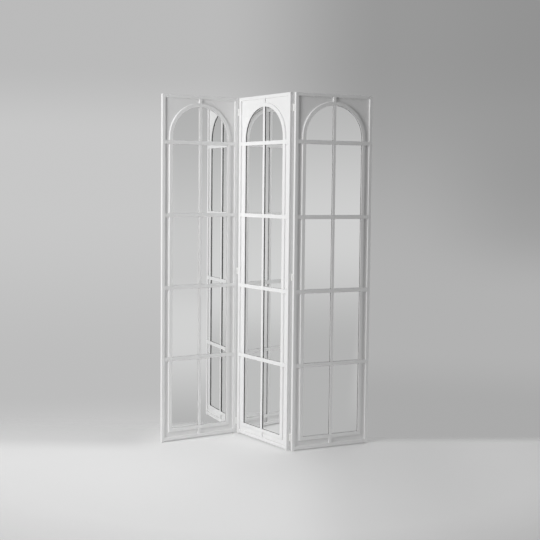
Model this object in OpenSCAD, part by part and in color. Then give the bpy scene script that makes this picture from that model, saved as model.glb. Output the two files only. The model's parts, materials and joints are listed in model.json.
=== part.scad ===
// Three-panel folding room divider with arched mirror panes, built from
// separate frame bars, boards, beads, bars, hinges, glides and screws.
// Units are millimetres, Z is up and the floor is Z = 0.
// Each panel is drawn in its own frame: X along its width, Y from the front
// face towards the back, Z up from the underside of the panel.

/* [Panel] */
// Width of one panel
panel_w = 440; // [320:1:520]
// Height of one panel without the glides
panel_h = 1800; // [1600:1:2000]
// Thickness of one panel
panel_t = 17; // [16:0.5:30]

/* [Frame] */
// Face width of the upright bars
stile_w = 17; // [14:0.5:30]
// Face height of the top and bottom rails
rail_h = 17; // [14:0.5:40]
// Depth from the front face down to the flat board
recess = 7.5; // [6:0.5:9]
// Depth of the groove that holds the boards
groove_d = 5; // [3:0.5:6]
// Small flat that breaks the sharp edges of the bars
ease = 0.8; // [0.2:0.1:1.5]

/* [Arched opening] */
// Flat board between the upright bars and the bead
side_margin = 22.5; // [12:0.5:40]
// Flat board between the bottom rail and the bead
sill_margin = 25; // [12:0.5:60]
// Flat board between the top rail and the crown of the bead
crown_margin = 21; // [12:0.5:60]
// Straight part of the opening above the top cross bar
spring_rise = 15.5; // [0:0.5:60]
// Width of the bead on the board
bead_w = 20; // [14:0.5:24]
// Radius of the bead's rounded outer edge
bead_round = 4; // [1:0.5:5]

/* [Glazing bars] */
// Face width of the upright glazing bar
upright_bar_w = 15; // [10:0.5:24]
// Face height of the cross bars
cross_bar_h = 20; // [12:0.5:28]
// Number of cross bars
cross_bars = 4; // [2:1:4]
// Overlap of the bead on the mirror's edge
mirror_lap = 6; // [4:0.5:8]
// Thickness of the mirror glass
mirror_t = 4; // [3:0.5:5]

/* [Back] */
// Thickness of the flat board
board_t = 3; // [2.5:0.5:4]
// Thickness of the backing board
backing_t = 3; // [2.5:0.5:4]
// Shank diameter of the backing screws
back_screw_d = 3; // [2.5:0.1:3.5]
// Hold of the backing screws in the bead
back_screw_hold = 4; // [2:0.5:5]
// Distance of the screw line from the mirror opening
back_screw_in = 12.5; // [10:0.5:15]

/* [Hinges] */
// Height of one hinge
hinge_h = 35; // [25:1:60]
// Outer radius of the hinge barrel
barrel_r = 3.5; // [2.5:0.1:3.6]
// Radius of the hinge pin
pin_r = 1.4; // [1:0.1:1.8]
// Thickness of a hinge leaf
leaf_t = 1.2; // [0.8:0.1:1.5]
// Reach of a leaf over the panel's edge
leaf_reach = 12; // [10:0.5:16]
// Pin axis out from the panel's face
pin_out = 1.5; // [1.2:0.1:3]
// Distance of the lowest hinge's centre from the underside
hinge_foot = 62; // [40:1:200]
// Distance of the highest hinge's centre from the panel's top
hinge_head = 75; // [40:1:200]
// Distance of the middle hinge's centre below the panel's middle
hinge_drop = 22; // [-50:1:50]
// Shank diameter of the hinge screws
hinge_screw_d = 2.4; // [2:0.1:3]
// Length of the hinge screws
hinge_screw_l = 9; // [7:0.5:9.5]
// Distance of the hinge screws from the leaf's ends
hinge_screw_in = 7; // [5:0.5:10]

/* [Glides] */
// Height of a glide under the panel
glide_h = 8; // [5:0.5:15]
// Diameter of a glide
glide_d = 15; // [12:0.5:18]
// Diameter of a glide's flat foot
glide_foot_d = 7; // [4:0.5:10]
// Set-back of a glide from the panel's edge
glide_set_back = 0.5; // [0:0.25:3]
// Length of the glide's nail in the wood
nail_l = 11; // [8:0.5:16]
// Radius of the glide's nail
nail_r = 1.1; // [0.8:0.1:1.4]

/* [Pose] */
// Opening angle between the fronts of left and middle panel
left_open = 96; // [2:1:180]
// Opening angle between the backs of middle and right panel
right_open = 102; // [2:1:180]
// Heading of the middle panel seen from above
middle_heading = -51.5; // [-90:0.5:0]

/* [Clearances] */
// Play of a board in its groove and of the mirror in its seat
fit = 0.2; // [0.1:0.05:0.5]
// Radial play of a pin in the knuckle that turns on it
pin_play = 0.05; // [0.02:0.01:0.1]
// Gap between two knuckles
knuckle_gap = 0.3; // [0.3:0.05:0.6]
// Free space around a barrel that turns
barrel_play = 0.35; // [0.3:0.05:0.6]
// Radial play of screws and nails in their holes
hole_play = 0.05; // [0.02:0.01:0.2]
// Free depth of a hole beyond a screw's point
tip_gap = 0.2; // [0.1:0.05:0.5]
// Edge of a hinge leaf beyond its screw heads
leaf_edge = 2; // [1:0.25:3]

/* [Hidden] */
$fn = 48;
eps = 0.01;
mirror_y = recess - fit / 2 - mirror_t;
bar_t = mirror_y - fit / 2;
lap = bar_t / 2;
mid_x = panel_w / 2;
bead_r = mid_x - stile_w - side_margin;
inner_r = bead_r - bead_w;
bead_z = rail_h + sill_margin;
sill_z = bead_z + bead_w;
apex_z = panel_h - rail_h - crown_margin - bead_w;
spring_z = apex_z - inner_r;
bar_pitch = (spring_z - spring_rise - sill_z) / cross_bars;
pane_h = bar_pitch - cross_bar_h;
back_screw_l = backing_t + board_t + back_screw_hold;
groove_t = board_t + backing_t + fit;
tongue_l = groove_d - fit;
tongue_t = groove_t - 2 * fit;
board_x = stile_w - groove_d + fit;
board_z = rail_h - groove_d + fit;
mirror_r = inner_r + mirror_lap;
rabbet_w = mirror_lap + fit;
screw_ring_r = inner_r + back_screw_in;
edge_gap = barrel_r;
knuckle_h = (hinge_h - 2 * knuckle_gap) / 3;
notch_y = barrel_r + barrel_play - pin_out;
hinge_low = hinge_foot;
hinge_mid = panel_h / 2 - hinge_drop;
hinge_high = panel_h - hinge_head;
hinge_z = [hinge_low, hinge_mid, hinge_high];
hinge_screw_z = hinge_h / 2 - hinge_screw_in;
hinge_screw_y = leaf_reach - hinge_screw_d - leaf_edge;
glide_in = glide_d / 2 + glide_set_back;
pin_head_r = pin_r + 0.8;
pin_head_h = 1;
left_heading = middle_heading + 180 - left_open;
right_heading = middle_heading + 180 - right_open;

function along(a) = [cos(a), sin(a)];
function back(a) = [-sin(a), cos(a)];

// Plan positions with the middle panel's front left corner at the origin
pin_left_raw = -edge_gap * along(middle_heading) - pin_out * back(middle_heading);
pin_right_raw = (panel_w + edge_gap) * along(middle_heading)
    + (panel_t + pin_out) * back(middle_heading);
left_raw = pin_left_raw - (panel_w + edge_gap) * along(left_heading)
    + pin_out * back(left_heading);
right_raw = pin_right_raw + edge_gap * along(right_heading)
    - (panel_t + pin_out) * back(right_heading);

function corners(p, a) = [
    p,
    p + panel_w * along(a),
    p + panel_t * back(a),
    p + panel_w * along(a) + panel_t * back(a)
];

all_corners = concat(
    corners(left_raw, left_heading),
    corners([0, 0], middle_heading),
    corners(right_raw, right_heading)
);
xs = [for (c = all_corners) c[0]];
ys = [for (c = all_corners) c[1]];
plan_centre = [(min(xs) + max(xs)) / 2, (min(ys) + max(ys)) / 2];
left_at = left_raw - plan_centre;
middle_at = -plan_centre;
right_at = right_raw - plan_centre;

white = [0.93, 0.93, 0.91];
white_metal = [0.90, 0.90, 0.89];
board_white = [0.91, 0.91, 0.89];
silver = [0.78, 0.82, 0.84];
back_white = [0.86, 0.86, 0.84];
zinc = [0.70, 0.70, 0.71];
glide_white = [0.95, 0.95, 0.94];

// Places what is drawn in a panel's own frame into the standing screen
module place(at, heading) {
    translate([at[0], at[1], glide_h])
        rotate([0, 0, heading])
            children();
}

module in_left() {
    place(left_at, left_heading)
        children();
}

module in_middle() {
    place(middle_at, middle_heading)
        children();
}

module in_right() {
    place(right_at, right_heading)
        children();
}

// Cross-section of an upright bar, outer edge at X = 0, groove on the inside
module stile_section() {
    difference() {
        polygon([
            [ease, 0], [stile_w - ease, 0], [stile_w, ease],
            [stile_w, panel_t - ease], [stile_w - ease, panel_t],
            [ease, panel_t], [0, panel_t - ease], [0, ease]
        ]);
        translate([stile_w - groove_d, recess])
            square([groove_d + 1, groove_t]);
    }
}

// Pilot holes of one panel edge's hinge leaves, edge at X = 0, pin side Y = 0
module hinge_pilots() {
    for (z = hinge_z)
        for (s = [-1, 1])
            translate([-leaf_t, hinge_screw_y, z + s * hinge_screw_z])
                rotate([0, 90, 0])
                    cylinder(h = hinge_screw_l + tip_gap, r = hinge_screw_d / 2 + hole_play);
}

// Holes of both glide nails, cut through whatever meets above a glide
module nail_holes() {
    for (x = [glide_in, panel_w - glide_in])
        translate([x, panel_t / 2, -1])
            cylinder(h = 1 + nail_l + tip_gap, r = nail_r + hole_play, $fn = 24);
}

// Left-hand upright of a panel without hinge holes
module stile_left() {
    difference() {
        linear_extrude(height = panel_h)
            stile_section();
        nail_holes();
    }
}

// Left-hand upright with pilots for hinges on the front side
module stile_left_front() {
    difference() {
        stile_left();
        hinge_pilots();
    }
}

// Left-hand upright with pilots for hinges on the back side
module stile_left_back() {
    difference() {
        stile_left();
        translate([0, panel_t, 0])
            mirror([0, 1, 0])
                hinge_pilots();
    }
}

module to_right_edge() {
    translate([panel_w, 0, 0])
        mirror([1, 0, 0])
            children();
}

// Cross-section of the bottom rail in the depth and height plane
module rail_section() {
    difference() {
        polygon([
            [ease, 0], [panel_t - ease, 0], [panel_t, ease],
            [panel_t, rail_h - ease], [panel_t - ease, rail_h],
            [ease, rail_h], [0, rail_h - ease], [0, ease]
        ]);
        translate([recess, rail_h - groove_d])
            square([groove_t, groove_d + 1]);
    }
}

// Extrudes a depth and height section along the panel's width
module run_x(from, length) {
    translate([from, 0, 0])
        rotate([90, 0, 90])
            linear_extrude(height = length)
                children();
}

module plain_rail() {
    run_x(stile_w, panel_w - 2 * stile_w)
        rail_section();
    for (x = [stile_w - tongue_l, panel_w - stile_w - eps])
        translate([x, recess + fit / 2, 0])
            cube([tongue_l + eps, tongue_t, rail_h - groove_d - fit]);
}

module bottom_rail() {
    difference() {
        plain_rail();
        nail_holes();
    }
}

module top_rail() {
    translate([0, 0, panel_h])
        mirror([0, 0, 1])
            plain_rail();
}

// Outline of an arched opening of the given half width, foot at the given Z
module arch_outline(half, foot) {
    translate([mid_x - half, foot])
        square([2 * half, spring_z - foot]);
    translate([mid_x, spring_z])
        circle(r = half, $fn = 160);
}

// Raises a width and height outline into a slab at a given depth
module slab(depth, thick) {
    translate([0, depth + thick, 0])
        rotate([90, 0, 0])
            linear_extrude(height = thick)
                children();
}

// Places of the screws that hold board, bead and backing together
screw_low = sill_z - back_screw_in;
leg_screws = [
    for (k = [0:cross_bars - 1])
        for (s = [-1, 1])
            [mid_x + s * screw_ring_r, sill_z + pane_h / 2 + k * bar_pitch]
];
arch_angles = [22, 55];
arch_screws = [
    for (t = arch_angles)
        for (s = [-1, 1])
            [mid_x + s * screw_ring_r * sin(t), spring_z + screw_ring_r * cos(t)]
];
sill_share = 0.6;
sill_screws = [
    for (s = [-1, 1])
        [mid_x + s * inner_r * sill_share, screw_low]
];
back_screws = concat(leg_screws, arch_screws, sill_screws);

module back_screw_holes(depth, length) {
    for (p = back_screws)
        translate([p[0], depth, p[1]])
            rotate([-90, 0, 0])
                cylinder(h = length, r = back_screw_d / 2 + hole_play, $fn = 24);
}

module board_outline() {
    translate([board_x, board_z])
        square([panel_w - 2 * board_x, panel_h - 2 * board_z]);
}

// Flat board that carries the bead and the mirror
module board() {
    difference() {
        slab(recess, board_t)
            board_outline();
        back_screw_holes(recess - 1, board_t + 2);
    }
}

// Plain backing board with countersunk screw holes
module backing() {
    head_r = back_screw_d;
    difference() {
        slab(recess + board_t, backing_t)
            board_outline();
        back_screw_holes(recess + board_t - 1, backing_t + 2);
        for (p = back_screws)
            translate([p[0], recess + board_t + backing_t + eps, p[1]])
                rotate([90, 0, 0])
                    cylinder(
                        h = head_r - back_screw_d / 2,
                        r1 = head_r + hole_play,
                        r2 = back_screw_d / 2 + hole_play,
                        $fn = 24
                    );
    }
}

// Section of the bead: X out from the opening's edge, Y from the front
// Its rabbet takes the mirror's edge, and its outer part stands on the board
module bead_section() {
    difference() {
        polygon([
            [ease / 2, 0], [bead_w, 0], [bead_w, recess],
            [rabbet_w, recess], [rabbet_w, bar_t],
            [0, bar_t], [0, ease / 2]
        ]);
        difference() {
            translate([bead_w - bead_round, -1])
                square([bead_round + 1, bead_round + 1]);
            translate([bead_w - bead_round, bead_round])
                circle(r = bead_round, $fn = 32);
        }
    }
}

module bead_leg() {
    intersection() {
        translate([mid_x + inner_r, 0, bead_z])
            linear_extrude(height = spring_z - bead_z)
                bead_section();
        slab(-1, recess + 2)
            polygon([
                [mid_x, sill_z + inner_r],
                [mid_x + bead_r + 1, bead_z - 1],
                [mid_x + bead_r + 1, spring_z + 1],
                [mid_x, spring_z + 1]
            ]);
    }
}

module bead_sill() {
    intersection() {
        translate([mid_x - bead_r, 0, sill_z])
            rotate([0, 90, 0])
                linear_extrude(height = 2 * bead_r)
                    bead_section();
        slab(-1, recess + 2)
            polygon([
                [mid_x - bead_r, bead_z],
                [mid_x + bead_r, bead_z],
                [mid_x + inner_r, sill_z],
                [mid_x + inner_r, sill_z + 1],
                [mid_x - inner_r, sill_z + 1],
                [mid_x - inner_r, sill_z]
            ]);
    }
}

module bead_arch() {
    translate([mid_x, 0, spring_z])
        rotate([-90, 0, 0])
            rotate([0, 0, 180])
                rotate_extrude(angle = 180, $fn = 160)
                    translate([inner_r, 0])
                        bead_section();
}

// Room for the glazing bars where they cross the front half of the bead
module bead_notches() {
    for (k = [1:cross_bars])
        translate([mid_x - bead_r - 2, -1, sill_z + k * bar_pitch - cross_bar_h])
            cube([2 * bead_r + 4, lap + 1, cross_bar_h]);
    translate([mid_x - upright_bar_w / 2, -1, 0])
        cube([upright_bar_w, lap + 1, panel_h]);
}

// Raised bead around the opening, one piece with mitred sill corners
module bead() {
    difference() {
        union() {
            bead_arch();
            bead_leg();
            translate([2 * mid_x, 0, 0])
                mirror([1, 0, 0])
                    bead_leg();
            bead_sill();
        }
        bead_notches();
        back_screw_holes(recess - back_screw_hold - tip_gap, recess);
    }
}

// Section of a bar across its face: face width along X, front at Y = 0
module bar_section(face) {
    polygon([
        [-face / 2 + ease / 2, 0], [face / 2 - ease / 2, 0],
        [face / 2, ease / 2], [face / 2, recess],
        [-face / 2, recess], [-face / 2, ease / 2]
    ]);
}

// Upright bar from rail to rail: deep over the board, shallow over the mirror
// Its back half stays where it meets the cross bars
module upright_bar() {
    difference() {
        translate([mid_x, 0, rail_h])
            linear_extrude(height = panel_h - 2 * rail_h)
                bar_section(upright_bar_w);
        for (k = [1:cross_bars])
            translate([mid_x - upright_bar_w, -1, sill_z + k * bar_pitch - cross_bar_h])
                cube([2 * upright_bar_w, lap + 1, cross_bar_h]);
        slab(bar_t, recess)
            arch_outline(inner_r + eps, sill_z - eps);
        translate([mid_x - upright_bar_w, lap, bead_z])
            cube([2 * upright_bar_w, recess, bead_w]);
        slab(lap, recess)
            difference() {
                translate([mid_x, spring_z])
                    circle(r = bead_r, $fn = 160);
                translate([mid_x, spring_z])
                    circle(r = inner_r, $fn = 160);
                translate([mid_x - bead_r - 1, spring_z - bead_r - 1])
                    square([2 * bead_r + 2, bead_r + 1]);
            }
    }
}

// Cross bars from stile to stile: deep over the board, shallow over the mirror
// Their front half stays where they meet the bead and the upright bar
module cross_bars_all() {
    for (k = [1:cross_bars])
        translate([0, 0, sill_z + k * bar_pitch - cross_bar_h / 2])
            difference() {
                translate([stile_w, 0, 0])
                    rotate([90, 0, 90])
                        linear_extrude(height = panel_w - 2 * stile_w)
                            rotate(90)
                                mirror([0, 1])
                                    bar_section(cross_bar_h);
                cross_bar_relief(2 * inner_r + eps, bar_t, 0);
                for (s = [-1, 1])
                    cross_bar_relief(bead_w, lap, s * (inner_r + bead_w / 2));
                cross_bar_relief(upright_bar_w, lap, 0);
            }
}

// Cuts the back of a cross bar away from the given depth on
module cross_bar_relief(width, depth, off) {
    translate([mid_x + off - width / 2, depth, -cross_bar_h])
        cube([width, recess, 2 * cross_bar_h]);
}

module mirror_pane() {
    slab(mirror_y, mirror_t)
        arch_outline(mirror_r, sill_z - mirror_lap);
}

// Countersunk screw along +Z: head face at Z = 0, point at the given length
module screw(shank_d, length) {
    head_r = shank_d;
    head_h = head_r - shank_d / 2;
    difference() {
        union() {
            cylinder(h = head_h, r1 = head_r, r2 = shank_d / 2, $fn = 24);
            cylinder(h = length - shank_d, r = shank_d / 2, $fn = 24);
            translate([0, 0, length - shank_d])
                cylinder(h = shank_d, r1 = shank_d / 2, r2 = 0.2, $fn = 24);
        }
        for (a = [0, 90])
            rotate([0, 0, a])
                cube([shank_d * 1.1, shank_d * 0.24, head_h], center = true);
    }
}

module backing_screws() {
    for (p = back_screws)
        translate([p[0], recess + board_t + backing_t, p[1]])
            rotate([90, 0, 0])
                screw(back_screw_d, back_screw_l);
}

// Glide with a rounded shoulder, a flat foot and its nail
module glide() {
    foot_r = glide_foot_d / 2;
    shoulder_r = min(glide_d / 2 - foot_r, glide_h - 1);
    rotate_extrude() {
        translate([0, -glide_h])
            square([foot_r, glide_h]);
        translate([0, shoulder_r - glide_h])
            square([foot_r + shoulder_r, glide_h - shoulder_r]);
        intersection() {
            translate([foot_r, shoulder_r - glide_h])
                circle(r = shoulder_r);
            translate([foot_r, -glide_h])
                square([shoulder_r, shoulder_r]);
        }
    }
    translate([0, 0, -1])
        cylinder(h = 1 + nail_l, r = nail_r, $fn = 24);
}

module glides() {
    for (x = [glide_in, panel_w - glide_in])
        translate([x, panel_t / 2, 0])
            glide();
}

// One hinge leaf on the edge X = 0 of a panel whose pin side is Y = 0
// The plate lies on X = -leaf_t to 0 and the pin stands at -edge_gap, -pin_out
module leaf(outer) {
    bore = pin_r + (outer ? 0 : pin_play);
    difference() {
        union() {
            translate([-leaf_t, -pin_out, -hinge_h / 2])
                cube([leaf_t, leaf_reach + pin_out, hinge_h]);
            translate([-edge_gap, -pin_out, -hinge_h / 2])
                cylinder(h = hinge_h, r = barrel_r);
        }
        translate([-edge_gap, -pin_out, -hinge_h / 2 - 1])
            cylinder(h = hinge_h + 2, r = bore);
        if (outer) {
            leaf_gap(-knuckle_h / 2 - knuckle_gap, knuckle_h / 2 + knuckle_gap);
        } else {
            leaf_gap(-hinge_h / 2 - 1, -knuckle_h / 2);
            leaf_gap(knuckle_h / 2, hinge_h / 2 + 1);
        }
        for (s = [-1, 1])
            translate([-leaf_t, hinge_screw_y, s * hinge_screw_z])
                rotate([0, 90, 0]) {
                    translate([0, 0, -eps])
                        cylinder(
                            h = hinge_screw_d / 2,
                            r1 = hinge_screw_d + hole_play,
                            r2 = hinge_screw_d / 2 + hole_play,
                            $fn = 24
                        );
                    cylinder(h = leaf_t + 1, r = hinge_screw_d / 2 + hole_play, $fn = 24);
                }
    }
}

// Cuts barrel and plate away where the other leaf's knuckle turns
module leaf_gap(from, to) {
    translate([-edge_gap - barrel_r - 1, -pin_out - barrel_r - 1, from])
        cube([edge_gap + barrel_r + 2, notch_y + pin_out + barrel_r + 1, to - from]);
}

module hinge_pin() {
    cylinder(h = hinge_h + pin_head_h, r = pin_r, center = true);
    for (s = [0, 1])
        mirror([0, 0, s])
            translate([0, 0, hinge_h / 2])
                intersection() {
                    cylinder(h = pin_head_h + 1, r = pin_head_r);
                    translate([0, 0, -pin_head_r])
                        sphere(r = pin_head_r + pin_head_h);
                }
}

module leaf_screws() {
    for (z = hinge_z)
        for (s = [-1, 1])
            translate([-leaf_t, hinge_screw_y, z + s * hinge_screw_z])
                rotate([0, 90, 0])
                    screw(hinge_screw_d, hinge_screw_l);
}

// Turns a front-side left-edge part into the other three edge positions
module edge_right_front() {
    to_right_edge()
        children();
}

module edge_right_back() {
    to_right_edge()
        translate([0, panel_t, 0])
            mirror([0, 1, 0])
                children();
}

module edge_left_back() {
    translate([0, panel_t, 0])
        mirror([0, 1, 0])
            children();
}

// Left panel
module left_stile_outer() {
    color(white)
        in_left()
            stile_left();
}

module left_stile_hinge() {
    color(white)
        in_left()
            to_right_edge()
                stile_left_front();
}

module left_top_rail() {
    color(white)
        in_left()
            top_rail();
}

module left_bottom_rail() {
    color(white)
        in_left()
            bottom_rail();
}

module left_board() {
    color(board_white)
        in_left()
            board();
}

module left_bead() {
    color(white)
        in_left()
            bead();
}

module left_upright_bar() {
    color(white)
        in_left()
            upright_bar();
}

module left_cross_bars() {
    color(white)
        in_left()
            cross_bars_all();
}

module left_mirror() {
    color(silver)
        in_left()
            mirror_pane();
}

module left_backing() {
    color(back_white)
        in_left()
            backing();
}

module left_backing_screws() {
    color(zinc)
        in_left()
            backing_screws();
}

module left_glides() {
    color(glide_white)
        in_left()
            glides();
}

// Middle panel
module middle_stile_left() {
    color(white)
        in_middle()
            stile_left_front();
}

module middle_stile_right() {
    color(white)
        in_middle()
            to_right_edge()
                stile_left_back();
}

module middle_top_rail() {
    color(white)
        in_middle()
            top_rail();
}

module middle_bottom_rail() {
    color(white)
        in_middle()
            bottom_rail();
}

module middle_board() {
    color(board_white)
        in_middle()
            board();
}

module middle_bead() {
    color(white)
        in_middle()
            bead();
}

module middle_upright_bar() {
    color(white)
        in_middle()
            upright_bar();
}

module middle_cross_bars() {
    color(white)
        in_middle()
            cross_bars_all();
}

module middle_mirror() {
    color(silver)
        in_middle()
            mirror_pane();
}

module middle_backing() {
    color(back_white)
        in_middle()
            backing();
}

module middle_backing_screws() {
    color(zinc)
        in_middle()
            backing_screws();
}

module middle_glides() {
    color(glide_white)
        in_middle()
            glides();
}

// Right panel
module right_stile_hinge() {
    color(white)
        in_right()
            stile_left_back();
}

module right_stile_outer() {
    color(white)
        in_right()
            to_right_edge()
                stile_left();
}

module right_top_rail() {
    color(white)
        in_right()
            top_rail();
}

module right_bottom_rail() {
    color(white)
        in_right()
            bottom_rail();
}

module right_board() {
    color(board_white)
        in_right()
            board();
}

module right_bead() {
    color(white)
        in_right()
            bead();
}

module right_upright_bar() {
    color(white)
        in_right()
            upright_bar();
}

module right_cross_bars() {
    color(white)
        in_right()
            cross_bars_all();
}

module right_mirror() {
    color(silver)
        in_right()
            mirror_pane();
}

module right_backing() {
    color(back_white)
        in_right()
            backing();
}

module right_backing_screws() {
    color(zinc)
        in_right()
            backing_screws();
}

module right_glides() {
    color(glide_white)
        in_right()
            glides();
}

// Hinges on the front side, between left and middle panel
module front_side_leaf(z) {
    color(white_metal)
        in_left()
            edge_right_front()
                translate([0, 0, z])
                    leaf(true);
}

module front_middle_leaf(z) {
    color(white_metal)
        in_middle()
            translate([0, 0, z])
                leaf(false);
}

module front_pin(z) {
    color(white_metal)
        in_left()
            edge_right_front()
                translate([-edge_gap, -pin_out, z])
                    hinge_pin();
}

module front_hinge_low_side_leaf() {
    front_side_leaf(hinge_low);
}

module front_hinge_low_middle_leaf() {
    front_middle_leaf(hinge_low);
}

module front_hinge_low_pin() {
    front_pin(hinge_low);
}

module front_hinge_mid_side_leaf() {
    front_side_leaf(hinge_mid);
}

module front_hinge_mid_middle_leaf() {
    front_middle_leaf(hinge_mid);
}

module front_hinge_mid_pin() {
    front_pin(hinge_mid);
}

module front_hinge_high_side_leaf() {
    front_side_leaf(hinge_high);
}

module front_hinge_high_middle_leaf() {
    front_middle_leaf(hinge_high);
}

module front_hinge_high_pin() {
    front_pin(hinge_high);
}

// Hinges on the back side, between middle and right panel
module back_side_leaf(z) {
    color(white_metal)
        in_right()
            edge_left_back()
                translate([0, 0, z])
                    leaf(true);
}

module back_middle_leaf(z) {
    color(white_metal)
        in_middle()
            edge_right_back()
                translate([0, 0, z])
                    leaf(false);
}

module back_pin(z) {
    color(white_metal)
        in_right()
            edge_left_back()
                translate([-edge_gap, -pin_out, z])
                    hinge_pin();
}

module back_hinge_low_side_leaf() {
    back_side_leaf(hinge_low);
}

module back_hinge_low_middle_leaf() {
    back_middle_leaf(hinge_low);
}

module back_hinge_low_pin() {
    back_pin(hinge_low);
}

module back_hinge_mid_side_leaf() {
    back_side_leaf(hinge_mid);
}

module back_hinge_mid_middle_leaf() {
    back_middle_leaf(hinge_mid);
}

module back_hinge_mid_pin() {
    back_pin(hinge_mid);
}

module back_hinge_high_side_leaf() {
    back_side_leaf(hinge_high);
}

module back_hinge_high_middle_leaf() {
    back_middle_leaf(hinge_high);
}

module back_hinge_high_pin() {
    back_pin(hinge_high);
}

// Hinge screws, one group for each hinged panel edge
module left_hinge_screws() {
    color(white_metal)
        in_left()
            edge_right_front()
                leaf_screws();
}

module middle_left_hinge_screws() {
    color(white_metal)
        in_middle()
            leaf_screws();
}

module middle_right_hinge_screws() {
    color(white_metal)
        in_middle()
            edge_right_back()
                leaf_screws();
}

module right_hinge_screws() {
    color(white_metal)
        in_right()
            edge_left_back()
                leaf_screws();
}

left_stile_outer();
left_stile_hinge();
left_top_rail();
left_bottom_rail();
left_board();
left_bead();
left_upright_bar();
left_cross_bars();
left_mirror();
left_backing();
left_backing_screws();
left_glides();
middle_stile_left();
middle_stile_right();
middle_top_rail();
middle_bottom_rail();
middle_board();
middle_bead();
middle_upright_bar();
middle_cross_bars();
middle_mirror();
middle_backing();
middle_backing_screws();
middle_glides();
right_stile_hinge();
right_stile_outer();
right_top_rail();
right_bottom_rail();
right_board();
right_bead();
right_upright_bar();
right_cross_bars();
right_mirror();
right_backing();
right_backing_screws();
right_glides();
front_hinge_low_side_leaf();
front_hinge_low_middle_leaf();
front_hinge_low_pin();
front_hinge_mid_side_leaf();
front_hinge_mid_middle_leaf();
front_hinge_mid_pin();
front_hinge_high_side_leaf();
front_hinge_high_middle_leaf();
front_hinge_high_pin();
back_hinge_low_side_leaf();
back_hinge_low_middle_leaf();
back_hinge_low_pin();
back_hinge_mid_side_leaf();
back_hinge_mid_middle_leaf();
back_hinge_mid_pin();
back_hinge_high_side_leaf();
back_hinge_high_middle_leaf();
back_hinge_high_pin();
left_hinge_screws();
middle_left_hinge_screws();
middle_right_hinge_screws();
right_hinge_screws();
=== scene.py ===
"""Looks of a three-panel folding room divider: paint, mirrors, hinges and a plain studio."""

import json
import math

import bmesh
import bpy
from mathutils import Matrix, Vector


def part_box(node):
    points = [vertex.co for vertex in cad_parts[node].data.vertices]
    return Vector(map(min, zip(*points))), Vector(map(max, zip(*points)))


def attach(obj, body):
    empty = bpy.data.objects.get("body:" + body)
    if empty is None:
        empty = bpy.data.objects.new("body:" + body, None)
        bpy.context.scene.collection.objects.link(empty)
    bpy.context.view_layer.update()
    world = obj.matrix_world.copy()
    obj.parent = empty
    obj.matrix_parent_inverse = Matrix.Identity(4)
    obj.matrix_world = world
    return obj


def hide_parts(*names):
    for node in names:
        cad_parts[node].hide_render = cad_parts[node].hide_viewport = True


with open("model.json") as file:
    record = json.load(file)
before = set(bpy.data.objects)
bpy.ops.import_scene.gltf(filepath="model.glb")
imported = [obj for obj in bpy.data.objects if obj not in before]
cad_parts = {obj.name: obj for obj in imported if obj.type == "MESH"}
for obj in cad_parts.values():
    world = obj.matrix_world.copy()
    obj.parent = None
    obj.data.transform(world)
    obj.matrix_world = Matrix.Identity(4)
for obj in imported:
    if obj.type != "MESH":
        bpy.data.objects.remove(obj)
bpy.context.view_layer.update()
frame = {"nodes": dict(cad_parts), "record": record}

bl_info = {
    "name": "Folding room divider finish",
    "version": (1, 0, 0),
    "blender": (4, 5, 0),
    "location": "3D View > Sidebar > Divider",
    "description": "Paints, silvers and lights a three-panel folding screen",
    "category": "Object",
}

MM = 0.001
PANELS = ("left", "middle", "right")
STILES = {
    "left": ("left_stile_outer", "left_stile_hinge"),
    "middle": ("middle_stile_left", "middle_stile_right"),
    "right": ("right_stile_hinge", "right_stile_outer"),
}


# ---------------------------------------------------------------- panel frames


def centre(node):
    low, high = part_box(node)
    return (low + high) / 2


class PanelFrame:
    """Where one panel stands: its heading and the middle of its underside."""

    def __init__(self, name):
        first, second = (centre(n) for n in STILES[name])
        run = second - first
        self.body = name + "_panel"
        self.heading = math.atan2(run.y, run.x)
        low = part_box(STILES[name][0])[0]
        middle = (first + second) / 2
        self.origin = Vector((middle.x, middle.y, low.z))

    def matrix(self):
        """Turns panel coordinates (along, back, up) into the row frame."""
        return Matrix.Translation(self.origin) @ Matrix.Rotation(self.heading, 4, "Z")

    def local_box(self, node):
        """Lowest and highest corner of a node in panel coordinates."""
        inverse = self.matrix().inverted()
        points = [inverse @ v.co for v in frame["nodes"][node].data.vertices]
        low = Vector(min(p[i] for p in points) for i in range(3))
        high = Vector(max(p[i] for p in points) for i in range(3))
        return low, high

    def members(self):
        """Names of the nodes that turn with the panel."""
        return frame["record"]["behaviour"]["bodies"][self.body]


FRAMES = {name: PanelFrame(name) for name in PANELS}


# ---------------------------------------------------------------- shader tools


class Sock:
    """A shader socket on which sums can be written as plain expressions."""

    def __init__(self, tree, socket):
        self.tree = tree
        self.socket = socket

    def maths(self, operation, *terms):
        return self.tree.node(
            "ShaderNodeMath", {"operation": operation}, dict(enumerate(terms))
        )

    def __add__(self, other):
        return self.maths("ADD", self, other)

    def __radd__(self, other):
        return self.maths("ADD", other, self)

    def __sub__(self, other):
        return self.maths("SUBTRACT", self, other)

    def __rsub__(self, other):
        return self.maths("SUBTRACT", other, self)

    def __mul__(self, other):
        return self.maths("MULTIPLY", self, other)

    def __rmul__(self, other):
        return self.maths("MULTIPLY", other, self)

    def __pow__(self, other):
        return self.maths("POWER", self, other)

    def over(self, limit):
        return self.maths("GREATER_THAN", self, limit)

    def top(self, other):
        return self.maths("MAXIMUM", self, other)

    def ease(self, start, end, low=0.0, high=1.0):
        """Goes smoothly from low at start to high at end."""
        return self.tree.node(
            "ShaderNodeMapRange",
            {"interpolation_type": "SMOOTHSTEP"},
            {"Value": self, "From Min": start, "From Max": end, "To Min": low, "To Max": high},
        )


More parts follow.
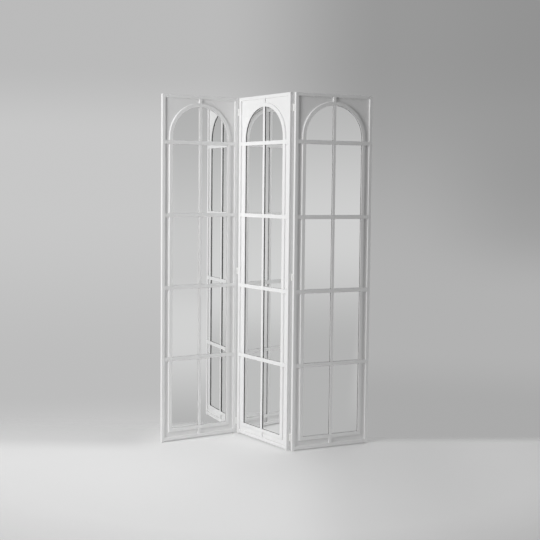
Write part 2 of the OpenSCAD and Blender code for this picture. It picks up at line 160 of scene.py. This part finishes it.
class Tree:
    """The node tree of one material or world."""

    def __init__(self, owner):
        owner.use_nodes = True
        self.nodes = owner.node_tree.nodes
        self.links = owner.node_tree.links
        self.nodes.clear()

    def node(self, kind, settings=None, values=None, out=0):
        """Adds a node: its settings first, then the values or links of its sockets."""
        made = self.nodes.new(kind)
        for key, value in (settings or {}).items():
            setattr(made, key, value)
        for key, value in (values or {}).items():
            if isinstance(value, Sock):
                self.links.new(value.socket, made.inputs[key])
            elif made.inputs[key].type == "RGBA" and len(value) == 3:
                made.inputs[key].default_value = (*value, 1.0)
            else:
                made.inputs[key].default_value = value
        return Sock(self, made.outputs[out]) if made.outputs else made

    def mix(self, share, first, second):
        """Blends two colours, the second one by the given share."""
        return self.node(
            "ShaderNodeMix", {"data_type": "RGBA"}, {0: share, 6: first, 7: second}, out=2
        )

    def noise(self, where, scale=1.0, detail=2.0, rough=0.5):
        """Cloudy noise from 0 to 1, scale cells to the metre."""
        return self.node(
            "ShaderNodeTexNoise",
            {"noise_dimensions": "3D"},
            {"Vector": where, "Scale": scale, "Detail": detail, "Roughness": rough},
        )

    def panel_point(self, name, stretch=(1.0, 1.0, 1.0)):
        """Object coordinates turned into one panel's own axes, then stretched."""
        place = FRAMES[name]
        turned = self.node(
            "ShaderNodeMapping",
            {"vector_type": "TEXTURE"},
            {
                "Vector": self.node("ShaderNodeTexCoord", out=3),
                "Location": tuple(place.origin),
                "Rotation": (0.0, 0.0, place.heading),
            },
        )
        return self.node(
            "ShaderNodeVectorMath", {"operation": "MULTIPLY"}, {0: turned, 1: stretch}
        )

    def split(self, vector):
        made = self.node("ShaderNodeSeparateXYZ", {}, {"Vector": vector}).socket.node
        return [Sock(self, s) for s in made.outputs]

    def ray(self, *names):
        """The named facts about the ray that looks."""
        path = self.node("ShaderNodeLightPath").socket.node
        return [Sock(self, path.outputs[name]) for name in names]

    def grey(self, tone):
        return self.node(
            "ShaderNodeCombineColor", {"mode": "RGB"}, {"Red": tone, "Green": tone, "Blue": tone}
        )

    def bump(self, height, depth):
        return self.node("ShaderNodeBump", {}, {"Height": height, "Distance": depth})

    def surface(self, **values):
        named = {key.replace("_", " "): value for key, value in values.items()}
        return self.node("ShaderNodeBsdfPrincipled", {}, named)

    def finish(self, shader):
        self.node("ShaderNodeOutputMaterial", {}, {"Surface": shader})


def blend(first, second, share):
    """Goes from the first tone to the second one by the given share."""
    return first + (second - first) * share


def scaled(colour, factor):
    return tuple(c * factor for c in colour)


def new_material(name):
    made = bpy.data.materials.new(name)
    return made, Tree(made)


def dress(node, material):
    """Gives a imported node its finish."""
    mesh = frame["nodes"][node].data
    mesh.materials.clear()
    mesh.materials.append(material)


# ---------------------------------------------------------------- mesh tools

# points closer than the seam are joined, and edges sharper than the angle are rounded
SEAM = 0.02 * MM
SHARP_ANGLE = math.radians(28)
ARCH_STEPS = 72


def soften(obj, width):
    """Joins the split faces of a node and rounds its sharp edges."""
    weld = obj.modifiers.new("join_faces", "WELD")
    weld.merge_threshold = SEAM
    bevel = obj.modifiers.new("soft_edges", "BEVEL")
    bevel.width = width
    bevel.segments = 2
    bevel.limit_method = "ANGLE"
    bevel.angle_limit = SHARP_ANGLE
    bevel.use_clamp_overlap = True
    bevel.miter_outer = "MITER_SHARP"
    even = obj.modifiers.new("even_shading", "WEIGHTED_NORMAL")
    even.keep_sharp = False
    even.weight = 60


def new_piece(name, points, faces, panel, material):
    """A mesh in panel coordinates, standing in the row frame and riding on its body."""
    mesh = bpy.data.meshes.new(name)
    mesh.from_pydata([FRAMES[panel].matrix() @ Vector(p) for p in points], [], faces)
    mesh.validate()
    mesh.update()
    obj = bpy.data.objects.new(name, mesh)
    bpy.context.scene.collection.objects.link(obj)
    mesh.materials.append(material)
    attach(obj, FRAMES[panel].body)
    return obj


def slab(outline, levels):
    """A closed prism: levels are (depth, inset) pairs from front to back."""
    count = len(outline)
    points, faces = [], []
    for depth, inset in levels:
        for k, (x, z) in enumerate(outline):
            x0, z0 = outline[k - 1]
            x1, z1 = outline[(k + 1) % count]
            tangent = Vector((x1 - x0, z1 - z0)).normalized()
            points.append((x - tangent.y * inset, depth, z + tangent.x * inset))
    for ring in range(len(levels) - 1):
        for k in range(count):
            a, b = ring * count + k, ring * count + (k + 1) % count
            faces.append((a, a + count, b + count, b))
    faces.append(tuple(range(count)))
    faces.append(tuple(reversed(range((len(levels) - 1) * count, len(levels) * count))))
    return points, faces


def arch(half, foot, spring):
    """Outline of an arched pane, anticlockwise seen from the front."""
    points = [(-half, foot), (half, foot)]
    for k in range(ARCH_STEPS + 1):
        turn = math.pi * k / ARCH_STEPS
        points.append((half * math.cos(turn), spring + half * math.sin(turn)))
    return points


# ---------------------------------------------------------------- settings


def shade(label, text, value):
    return bpy.props.FloatVectorProperty(
        name=label,
        description=text,
        subtype="COLOR",
        size=3,
        min=0.0,
        max=1.0,
        default=value,
    )


def length(label, text, value):
    return bpy.props.FloatProperty(
        name=label, description=text, unit="LENGTH", subtype="DISTANCE", min=0.0, default=value
    )


def power(label, text, value):
    return bpy.props.FloatProperty(
        name=label, description=text, unit="POWER", min=0.0, default=value
    )


def level(label, text, value):
    return bpy.props.FloatProperty(
        name=label, description=text, subtype="FACTOR", min=0.0, max=1.0, default=value
    )


class DividerColours(bpy.types.PropertyGroup):
    paint: shade("Paint", "Satin white of the wooden bars", (0.84, 0.84, 0.84))
    underside_shade: shade("Painted underside shade", "Painted shade on the undersides over the middle and right mirrors", (0.05, 0.05, 0.05))
    board: shade("Board", "Rolled white of the flat boards", (0.83, 0.83, 0.83))
    backing: shade("Backing", "Matt white of the backing boards", (0.78, 0.78, 0.765))
    silver: shade("Silver", "Colour that the silvering returns", (0.87, 0.873, 0.871))
    enamel: shade("Hinges", "White enamel of the hinges", (0.86, 0.86, 0.85))
    chipped: shade("Chips", "Bare steel where the enamel is chipped", (0.56, 0.55, 0.53))
    zinc: shade("Screws", "Bright zinc of the screws", (0.72, 0.72, 0.73))
    glide: shade("Glides", "Moulded white of the glides", (0.86, 0.86, 0.85))
    floor: shade("Floor", "Pale studio floor", (0.905, 0.905, 0.905))


class DividerSizes(bpy.types.PropertyGroup):
    wood_edge: length("Wood edge", "Rounding of the painted wooden edges", 0.35 * MM)
    steel_edge: length("Steel edge", "Rounding of the hinge edges", 0.18 * MM)
    glass_edge: length("Glass edge", "Ground bevel round the panes", 0.6 * MM)
    glass: length("Glass", "Virtual depth that the glass adds before the silver", 2.67 * MM)
    brush: length("Brush marks", "Depth of the brush marks in the paint", 0.035 * MM)
    stipple: length("Stipple", "Depth of the roller's stipple", 0.03 * MM)
    fibre: length("Fibre", "Depth of the fibres that show through the backings", 0.048 * MM)
    peel: length("Peel", "Depth of the orange peel in the enamel", 0.03 * MM)
    turning: length("Turning", "Depth of the turning marks on the screws", 0.02 * MM)
    scuff: length("Scuff", "Depth of the scuffs on the glides", 0.04 * MM)
    grain: length("Grain", "Depth of the floor's own grain", 0.05 * MM)


class DividerStudio(bpy.types.PropertyGroup):
    key: power("Key", "Power of the tall soft light on the left", 50.0)
    side_fill: power("Side fill", "Power of the full-height light further left", 12.0)
    back_fill: power("Back fill", "Power of the weak light behind on the right", 5.0)
    ambient: level("Ambient", "Level of the room's own light", 0.095)
    overhead: level("Overhead", "What the room adds straight from above", 0.48)
    rearward: level("Rearward", "What the room adds from behind the screen", 0.70)


def settings():
    scene = bpy.context.scene
    return scene.divider_colours, scene.divider_sizes, scene.divider_studio


# ---------------------------------------------------------------- finishes

PAINT_IOR = 1.46
PLASTIC_IOR = 1.5
YELLOWED = (0.985, 0.983, 0.978)

# cells to the metre of paint marks, along and across the brush
ALONG_BRUSH, ACROSS_BRUSH = 55.0, 900.0
BRUSH_CELLS = {
    "x": (ALONG_BRUSH, ACROSS_BRUSH, ACROSS_BRUSH),
    "z": (ACROSS_BRUSH, ACROSS_BRUSH, ALONG_BRUSH),
    "both": (ACROSS_BRUSH, ACROSS_BRUSH, ACROSS_BRUSH),
}

# The middle and right mirrors show the undersides of bars and beads dark, the left one doesn't, so
# on those two panels the undersides get painted shade:
# a near-black tone that stands in for the shade in the gap over the glass. The painted shade ends
# between two depths behind the front of the glass, which are counted from the panel's middle.
UNDERSIDE_SHADE_PANELS = ("middle", "right")
UNDERSIDE_SHADE_ENDS = (-4.5 * MM, -3.5 * MM)


def underside(tree, panel):
    """Where a surface faces the panel's glass from in front of it: the mask of the painted
    underside shade.
    """
    back = FRAMES[panel].matrix().to_3x3() @ Vector((0.0, 1.0, 0.0))
    facing = tree.node(
        "ShaderNodeVectorMath",
        {"operation": "DOT_PRODUCT"},
        {0: tree.node("ShaderNodeTexCoord", out=1), 1: tuple(back)},
        out=1,
    )
    depth = tree.split(tree.panel_point(panel))[1]
    return facing.ease(0.7, 0.9) * depth.ease(*UNDERSIDE_SHADE_ENDS, 1.0, 0.0)


def painted(name, panel, colour, along, depth, gloss):
    """Brushed satin paint on wood, marks running along x, z or both ways, with painted shade on
    the undersides over the glass of some panels.
    """
    made, tree = new_material(name)
    point = tree.panel_point(panel)
    marks = tree.noise(tree.panel_point(panel, BRUSH_CELLS[along]), detail=3.0, rough=0.55)
    wave = tree.noise(point, scale=60.0)
    cloud = tree.noise(point, scale=5.0, detail=3.0, rough=0.6)
    speck = tree.noise(point, scale=420.0, rough=0.6)
    warm = tuple(c * f for c, f in zip(colour, YELLOWED))
    tint = tree.mix(cloud.ease(0.35, 0.75) * 0.55, colour, warm)
    tint = tree.mix(speck.ease(0.60, 0.78) * 0.175, tint, scaled(colour, 0.93))
    # painted shade: undersides over the glass turn near-black, standing in for the shade that the
    # mirrors show there
    if panel in UNDERSIDE_SHADE_PANELS:
        tint = tree.mix(underside(tree, panel), tint, tuple(settings()[0].underside_shade))
    rough = gloss + cloud.ease(0.3, 0.8) * 0.08 + marks * 0.06
    bump = tree.bump(marks * 0.75 + wave * 0.9 + speck.ease(0.62, 0.8) * 0.5, depth)
    tree.finish(tree.surface(Base_Color=tint, Roughness=rough, Normal=bump, IOR=PAINT_IOR))
    return made


def paint_nodes(label, endings, colour, along, depth, gloss, edge):
    """Paints the nodes of every panel whose names have one of the endings."""
    for panel in PANELS:
        finish = painted(f"{label}_{panel}", panel, colour, along, depth, gloss)
        chosen = [
            n for n in FRAMES[panel].members() if n.startswith(panel) and n.endswith(endings)
        ]
        if not chosen:
            raise RuntimeError(f"no {label} nodes on the {panel} panel")
        for node in chosen:
            dress(node, finish)
            if edge:
                soften(frame["nodes"][node], edge)


class PieceOperator:
    """Shared poll of the divider's operators."""

    @classmethod
    def poll(cls, context):
        return context.scene is not None


class DIVIDER_OT_uprights(PieceOperator, bpy.types.Operator):
    """Paints the stiles and the upright glazing bars, brushed along their length"""

    bl_idname = "divider.uprights"
    bl_label = "Paint uprights"

    def execute(self, context):
        colours, sizes, _ = settings()
        paint_nodes(
            "upright_paint",
            ("stile_outer", "stile_hinge", "stile_left", "stile_right", "upright_bar"),
            tuple(colours.paint),
            along="z",
            depth=sizes.brush,
            gloss=0.40,
            edge=sizes.wood_edge,
        )
        return {"FINISHED"}


class DIVIDER_OT_crosspieces(PieceOperator, bpy.types.Operator):
    """Paints the rails and the cross bars, brushed along their length"""

    bl_idname = "divider.crosspieces"
    bl_label = "Paint rails and cross bars"

    def execute(self, context):
        colours, sizes, _ = settings()
        paint_nodes(
            "cross_paint",
            ("top_rail", "bottom_rail", "cross_bars"),
            tuple(colours.paint),
            along="x",
            depth=sizes.brush,
            gloss=0.40,
            edge=sizes.wood_edge,
        )
        return {"FINISHED"}


class DIVIDER_OT_beads(PieceOperator, bpy.types.Operator):
    """Paints the raised beads round the arched openings"""

    bl_idname = "divider.beads"
    bl_label = "Paint beads"

    def execute(self, context):
        colours, sizes, _ = settings()
        paint_nodes(
            "bead_paint",
            ("_bead",),
            tuple(colours.paint),
            along="both",
            depth=sizes.brush,
            gloss=0.38,
            edge=sizes.wood_edge,
        )
        return {"FINISHED"}


class DIVIDER_OT_boards(PieceOperator, bpy.types.Operator):
    """Paints the flat boards with a roller's fine stipple"""

    bl_idname = "divider.boards"
    bl_label = "Paint boards"

    def execute(self, context):
        colours, sizes, _ = settings()
        paint_nodes(
            "board_paint",
            ("_board",),
            tuple(colours.board),
            along="both",
            depth=sizes.stipple,
            gloss=0.46,
            edge=0.0,
        )
        return {"FINISHED"}


class DIVIDER_OT_backings(PieceOperator, bpy.types.Operator):
    """Paints the backing boards matt over their fibres"""

    bl_idname = "divider.backings"
    bl_label = "Paint backings"

    def execute(self, context):
        colours, sizes, _ = settings()
        base = tuple(colours.backing)
        for panel in PANELS:
            made, tree = new_material("backing_paint_" + panel)
            fibres = tree.panel_point(panel, (340.0, 340.0, 120.0))
            fibre = tree.noise(fibres, detail=4.0, rough=0.65)
            cloud = tree.noise(tree.panel_point(panel), scale=3.5, detail=3.0, rough=0.6)
            tint = tree.mix(cloud.ease(0.3, 0.75) * 0.7, base, scaled(base, 0.94))
            bump = tree.bump(fibre, sizes.fibre)
            rough = 0.62 + fibre * 0.12
            tree.finish(
                tree.surface(Base_Color=tint, Roughness=rough, Normal=bump, IOR=PAINT_IOR)
            )
            dress(panel + "_backing", made)
        return {"FINISHED"}


class DIVIDER_OT_mirrors(PieceOperator, bpy.types.Operator):
    """Silvers the arched panes and grinds their edges"""

    bl_idname = "divider.mirrors"
    bl_label = "Silver mirrors"

    def execute(self, context):
        colours, sizes, _ = settings()
        edge = sizes.glass_edge
        for panel in PANELS:
            node = panel + "_mirror"
            low, high = FRAMES[panel].local_box(node)
            made, tree = new_material("mirror_silver_" + panel)
            film = tree.noise(tree.panel_point(panel), scale=7.0, detail=3.0, rough=0.6)
            rough = film.ease(0.45, 0.85, 0.004, 0.02)
            tree.finish(
                tree.surface(Base_Color=tuple(colours.silver), Metallic=1.0, Roughness=rough)
            )
            half = (high.x - low.x) / 2
            front = low.y + sizes.glass
            points, faces = slab(
                arch(half, foot=low.z, spring=high.z - half),
                [(front, edge), (front + edge, 0.0), (high.y - edge, 0.0), (high.y, edge)],
            )
            pane = new_piece(panel + "_mirror_pane", points, faces, panel, made)
            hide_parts(node)
        return {"FINISHED"}


class DIVIDER_OT_hinges(PieceOperator, bpy.types.Operator):
    """Enamels the hinge leaves, pins and screws"""

    bl_idname = "divider.hinges"
    bl_label = "Enamel hinges"

    def execute(self, context):
        colours, sizes, _ = settings()
        for panel in PANELS:
            made, tree = new_material("hinge_enamel_" + panel)
            point = tree.panel_point(panel)
            peel = tree.noise(point, scale=700.0)
            chip = tree.noise(point, scale=260.0, detail=4.0, rough=0.65).ease(0.70, 0.74)
            tint = tree.mix(chip * 0.6, tuple(colours.enamel), tuple(colours.chipped))
            bump = tree.bump(peel - chip * 0.8, sizes.peel)
            tree.finish(
                tree.surface(
                    Base_Color=tint, Roughness=0.30 + peel * 0.08, Metallic=chip * 0.5, Normal=bump
                )
            )
            for node in FRAMES[panel].members():
                if "hinge" not in node or "stile" in node:
                    continue
                dress(node, made)
                if not node.endswith("screws"):
                    soften(frame["nodes"][node], sizes.steel_edge)
        return {"FINISHED"}


class DIVIDER_OT_back_screws(PieceOperator, bpy.types.Operator):
    """Plates the backing screws with bright zinc"""

    bl_idname = "divider.back_screws"
    bl_label = "Plate backing screws"

    def execute(self, context):
        colours, sizes, _ = settings()
        base = tuple(colours.zinc)
        for panel in PANELS:
            made, tree = new_material("screw_zinc_" + panel)
            grooves = tree.panel_point(panel, (1500.0, 300.0, 1500.0))
            turned = tree.noise(grooves, detail=3.0, rough=0.6)
            bloom = tree.noise(tree.panel_point(panel), scale=300.0, detail=3.0, rough=0.6)
            tint = tree.mix(bloom.ease(0.4, 0.75), base, scaled(base, 0.7))
            bump = tree.bump(turned, sizes.turning)
            tree.finish(
                tree.surface(
                    Base_Color=tint, Metallic=1.0, Roughness=0.32 + bloom * 0.2, Normal=bump
                )
            )
            dress(panel + "_backing_screws", made)
        return {"FINISHED"}


class DIVIDER_OT_glides(PieceOperator, bpy.types.Operator):
    """Gives the glides their moulded plastic, scuffed where they meet the floor"""

    bl_idname = "divider.glides"
    bl_label = "Mould glides"

    def execute(self, context):
        colours, sizes, _ = settings()
        base = tuple(colours.glide)
        for panel in PANELS:
            made, tree = new_material("glide_plastic_" + panel)
            point = tree.panel_point(panel)
            height = tree.split(point)[2]
            scuff = tree.noise(point, scale=600.0, detail=3.0, rough=0.6)
            foot = height.ease(-8.0 * MM, -5.0 * MM, 1.0, 0.0) * scuff.ease(0.35, 0.65)
            tint = tree.mix(foot, base, scaled(base, 0.6))
            bump = tree.bump(scuff, sizes.scuff)
            rough = 0.42 + foot * 0.3
            tree.finish(
                tree.surface(Base_Color=tint, Roughness=rough, Normal=bump, IOR=PLASTIC_IOR)
            )
            dress(panel + "_glides", made)
        return {"FINISHED"}


# ---------------------------------------------------------------- camera

# place in metres, angles in degrees, focal length and middle in pixels of the picture
CAMERA = {
    "place": (0.1601, -5.0433, 1.3288),
    "focal": 973.2,
    "middle": (252.98, 253.43),
    "yaw": 2.5792,
    "pitch": 3.8130,
    "roll": 0.5107,
}
PICTURE = 540.0
SENSOR = 36.0


def set_camera():
    data = bpy.data.cameras.new("photo_camera")
    data.sensor_width = SENSOR
    data.lens = CAMERA["focal"] * SENSOR / PICTURE
    data.shift_x = (PICTURE / 2 - CAMERA["middle"][0]) / PICTURE
    data.shift_y = (CAMERA["middle"][1] - PICTURE / 2) / PICTURE
    yaw, pitch, roll = (math.radians(CAMERA[k]) for k in ("yaw", "pitch", "roll"))
    ahead = Vector(
        (-math.sin(yaw) * math.cos(pitch), math.cos(yaw) * math.cos(pitch), -math.sin(pitch))
    )
    right = Vector((math.cos(yaw), math.sin(yaw), 0.0))
    up = right.cross(ahead)
    side = right * math.cos(roll) + up * math.sin(roll)
    top = up * math.cos(roll) - right * math.sin(roll)
    turn = Matrix((side, top, -ahead)).transposed()
    camera = bpy.data.objects.new("photo_camera", data)
    camera.matrix_world = Matrix.Translation(CAMERA["place"]) @ turn.to_4x4()
    bpy.context.scene.collection.objects.link(camera)
    bpy.context.scene.camera = camera


# ---------------------------------------------------------------- room

# Tones of the plain room by how far a ray climbs: a base, then steps of (from, to, what is
# added below them, what is added above them).
ROOM_TONES = {
    # behind the screen, on both sides of the picture
    "wall_left": (
        0.575,
        (0.05, 0.125, 0.0, -0.08),
        (-0.19, -0.02, -0.065, 0.0),
        (-0.265, -0.205, 0.12, 0.0),
    ),
    "wall_right": (0.445, (-0.09, 0.14, 0.0, -0.128), (-0.21, -0.16, -0.04, 0.0)),
    # the rest of the room, as the mirrors show it
    "side": (
        0.665,
        (-0.07, 0.10, 0.0, -0.165),
        (-0.26, -0.15, -0.25, 0.0),
        (-0.135, -0.085, 0.07, 0.0),
    ),
    "front": (0.725, (-0.04, 0.11, 0.0, -0.20), (-0.165, -0.05, -0.21, 0.0)),
    "left": (0.72, (-0.08, 0.08, 0.0, -0.16), (-0.175, -0.085, -0.17, 0.0)),
    "rear": (0.833, (-0.09, 0.13, 0.0, -0.33), (-0.165, -0.11, -0.165, 0.0)),
    # the same, as other cameras see it
    "plain": (0.62, (-0.3, 0.3, 0.0, -0.08)),
}


def room_tone(name, climb):
    tone, *steps = ROOM_TONES[name]
    for start, end, below, above in steps:
        tone = tone + climb.ease(start, end, below, above)
    return tone


def set_world(ambient, overhead, rearward):
    """A plain room: soft light for surfaces, plain tones for what is seen directly."""
    world = bpy.data.worlds.new("plain_studio")
    bpy.context.scene.world = world
    tree = Tree(world)
    x, y, z = tree.split(tree.node("ShaderNodeTexCoord", out=0))
    camera, glossy, through = tree.ray("Is Camera Ray", "Is Glossy Ray", "Is Transmission Ray")
    # behind the screen: paler on the left, darker towards the upper right
    corner = x.ease(0.09, 0.25, 0.0, 0.075) * z.ease(-0.11, -0.03)
    corner = corner * z.ease(-0.01, 0.09, 1.0, 0.35)
    wall = blend(
        room_tone("wall_left", z), room_tone("wall_right", z) - corner, x.ease(-0.09, 0.09)
    )
    # the rest of the room: right of the camera, left of it, and behind it
    room = blend(room_tone("front", z), room_tone("side", z), y.ease(-0.548, -0.530))
    room = blend(room_tone("left", z), room, x.ease(-0.50, 0.30))
    room = blend(room_tone("rear", z), room, y.ease(-0.90, -0.70))
    tone = blend(room, room_tone("plain", z), camera)
    tone = blend(tone, wall, y.ease(0.35, 0.80))
    # light that no one sees directly comes from above and from behind the screen
    sky = ambient + z.top(0.0) * overhead
    sky = sky + y.ease(0.10, 0.70, 0.0, rearward) * z.ease(0.15, 0.45, 1.0, 0.0)
    seen = camera.top(glossy).top(through)
    light = tree.mix(seen, tree.grey(sky), tree.grey(tone))
    background = tree.node("ShaderNodeBackground", {}, {"Color": light, "Strength": 1.0})
    tree.node("ShaderNodeOutputWorld", {}, {"Surface": background})


# ---------------------------------------------------------------- floor

FLOOR_RINGS = (0.6, 1.2, 2.0, 3.0, 4.2)
FLOOR_SPOKES = 64
MIDDLE = (0.0, 0.0)
UNDER_LAMPS = (-1.8, -2.1)
FOLD_FOOT = (-0.3, 0.0)


def floor_mesh():
    """Rings of faces round the screen's middle, so that the rim is round."""
    made = bmesh.new()
    last = [made.verts.new((0.0, 0.0, 0.0))]
    for radius in FLOOR_RINGS:
        ring = []
        for k in range(FLOOR_SPOKES):
            turn = 2 * math.pi * k / FLOOR_SPOKES
            ring.append(made.verts.new((radius * math.cos(turn), radius * math.sin(turn), 0.0)))
        for k in range(FLOOR_SPOKES):
            after = (k + 1) % FLOOR_SPOKES
            if len(last) == 1:
                made.faces.new((last[0], ring[k], ring[after]))
            else:
                made.faces.new((last[k], ring[k], ring[after], last[after]))
        last = ring
    mesh = bpy.data.meshes.new("studio_floor")
    made.to_mesh(mesh)
    made.free()
    return mesh


def reach(x, y, spot):
    """How far a point of the floor lies from a spot."""
    east, north = x - spot[0], y - spot[1]
    return (east * east + north * north) ** 0.5


def floor_rim(tree, x, y):
    """Where the floor gives way to the room behind it."""
    # it fades into the backdrop, and sooner on the right, where the backdrop starts low
    drawn = y - (x - 0.6) * 0.09
    rear = blend(y.ease(-0.02, 0.50), drawn.ease(0.0, 0.16), x.ease(0.25, 0.50))
    rim = reach(x, y, MIDDLE).ease(1.35, 2.1).top(rear)
    # mirrors show it in the fold, and once also ahead on the left, else the plain room
    glossy, depth = tree.ray("Is Glossy Ray", "Glossy Depth")
    outside = reach(x, y, FOLD_FOOT).ease(0.15, 0.32)
    ahead = (y + 0.18 + (x + 0.53) * 0.594).ease(-0.25, -0.05)
    return rim.top(glossy * outside * ahead.top(depth.over(1.5)))


def set_floor(colour, grain):
    """A round pale floor that fades into the room at its rim."""
    mesh = floor_mesh()
    floor = bpy.data.objects.new("studio_floor", mesh)
    bpy.context.scene.collection.objects.link(floor)
    material, tree = new_material("floor_paper")
    point = tree.node("ShaderNodeTexCoord", out=3)
    x, y, _ = tree.split(point)
    cloud = tree.noise(point, scale=1.3)
    fibre = tree.noise(point, scale=260.0)
    # painted shade on the paper: darker behind on the left, in front of the right panel and close
    # to the lamps
    painted_floor_shade = y.ease(-0.28, 0.0) * x.ease(-0.75, -0.50, 0.14, 0.0)
    painted_floor_shade = painted_floor_shade + x.ease(0.10, 0.45, 0.0, 0.10) * x.ease(0.75, 1.30, 1.0, 0.1)
    # painted shade close to the lamps, which evens out their pool of light on the floor
    lamp_pool_shade = reach(x, y, UNDER_LAMPS).ease(0.6, 2.3, 0.6, 1.0)
    tone = (1.0 - painted_floor_shade) * lamp_pool_shade * (0.985 + cloud * 0.03)
    paper = tree.surface(
        Base_Color=tree.node(
            "ShaderNodeVectorMath", {"operation": "SCALE"}, {0: colour, "Scale": tone}
        ),
        Roughness=0.72 + cloud * 0.08,
        Normal=tree.bump(fibre, grain),
        Specular_IOR_Level=0.2,
    )
    clear = tree.node("ShaderNodeBsdfTransparent")
    rim = floor_rim(tree, x, y)
    tree.finish(tree.node("ShaderNodeMixShader", {}, {0: rim, 1: paper, 2: clear}))
    mesh.materials.append(material)


# ---------------------------------------------------------------- lamps and stage

LAMP_DISTANCE = 2.8
# bearing in degrees, lowest and highest point and width in metres
LAMPS = {
    "key": (230.0, 0.95, 2.65, 0.9),
    "side_fill": (212.0, 0.05, 2.65, 0.5),
    "back_fill": (50.0, 1.2, 2.0, 0.7),
}


def add_lamp(name, watts):
    """An upright soft strip that faces the screen; the mirrors pass its light on."""
    bearing, low, high, width = LAMPS[name]
    data = bpy.data.lights.new(name, "AREA")
    data.shape = "RECTANGLE"
    data.size = width
    data.size_y = high - low
    data.energy = watts
    lamp = bpy.data.objects.new(name, data)
    turn = math.radians(bearing)
    outward = Vector((math.cos(turn), math.sin(turn), 0.0))
    lamp.matrix_world = (
        Matrix.Translation(outward * LAMP_DISTANCE + Vector((0.0, 0.0, (low + high) / 2)))
        @ (-outward).to_track_quat("-Z", "Y").to_matrix().to_4x4()
    )
    bpy.context.scene.collection.objects.link(lamp)
    lamp.visible_camera = False


class DIVIDER_OT_stage(PieceOperator, bpy.types.Operator):
    """Sets the floor, the plain room, the soft light and the photograph's camera"""

    bl_idname = "divider.stage"
    bl_label = "Set the stage"

    def execute(self, context):
        colours, sizes, studio = settings()
        set_world(studio.ambient, studio.overhead, studio.rearward)
        set_floor(tuple(colours.floor), sizes.grain)
        for name in LAMPS:
            add_lamp(name, getattr(studio, name))
        set_camera()
        context.scene.view_settings.view_transform = "Standard"
        return {"FINISHED"}


class DIVIDER_PT_sidebar(bpy.types.Panel):
    bl_label = "Folding divider"
    bl_idname = "DIVIDER_PT_sidebar"
    bl_space_type = "VIEW_3D"
    bl_region_type = "UI"
    bl_category = "Divider"

    def draw(self, context):
        for operator in OPERATORS:
            self.layout.operator(operator.bl_idname)


OPERATORS = (
    DIVIDER_OT_uprights,
    DIVIDER_OT_crosspieces,
    DIVIDER_OT_beads,
    DIVIDER_OT_boards,
    DIVIDER_OT_backings,
    DIVIDER_OT_mirrors,
    DIVIDER_OT_hinges,
    DIVIDER_OT_back_screws,
    DIVIDER_OT_glides,
    DIVIDER_OT_stage,
)
GROUPS = {
    "divider_colours": DividerColours,
    "divider_sizes": DividerSizes,
    "divider_studio": DividerStudio,
}


def register():
    for group in GROUPS.values():
        bpy.utils.register_class(group)
    for name, group in GROUPS.items():
        setattr(bpy.types.Scene, name, bpy.props.PointerProperty(type=group))
    for made in (*OPERATORS, DIVIDER_PT_sidebar):
        bpy.utils.register_class(made)


def unregister():
    for made in (DIVIDER_PT_sidebar, *reversed(OPERATORS)):
        bpy.utils.unregister_class(made)
    for name, group in GROUPS.items():
        delattr(bpy.types.Scene, name)
        bpy.utils.unregister_class(group)


def main():
    register()
    for operator in OPERATORS:
        group, name = operator.bl_idname.split(".")
        getattr(getattr(bpy.ops, group), name)()


if __name__ == "__main__":
    main()
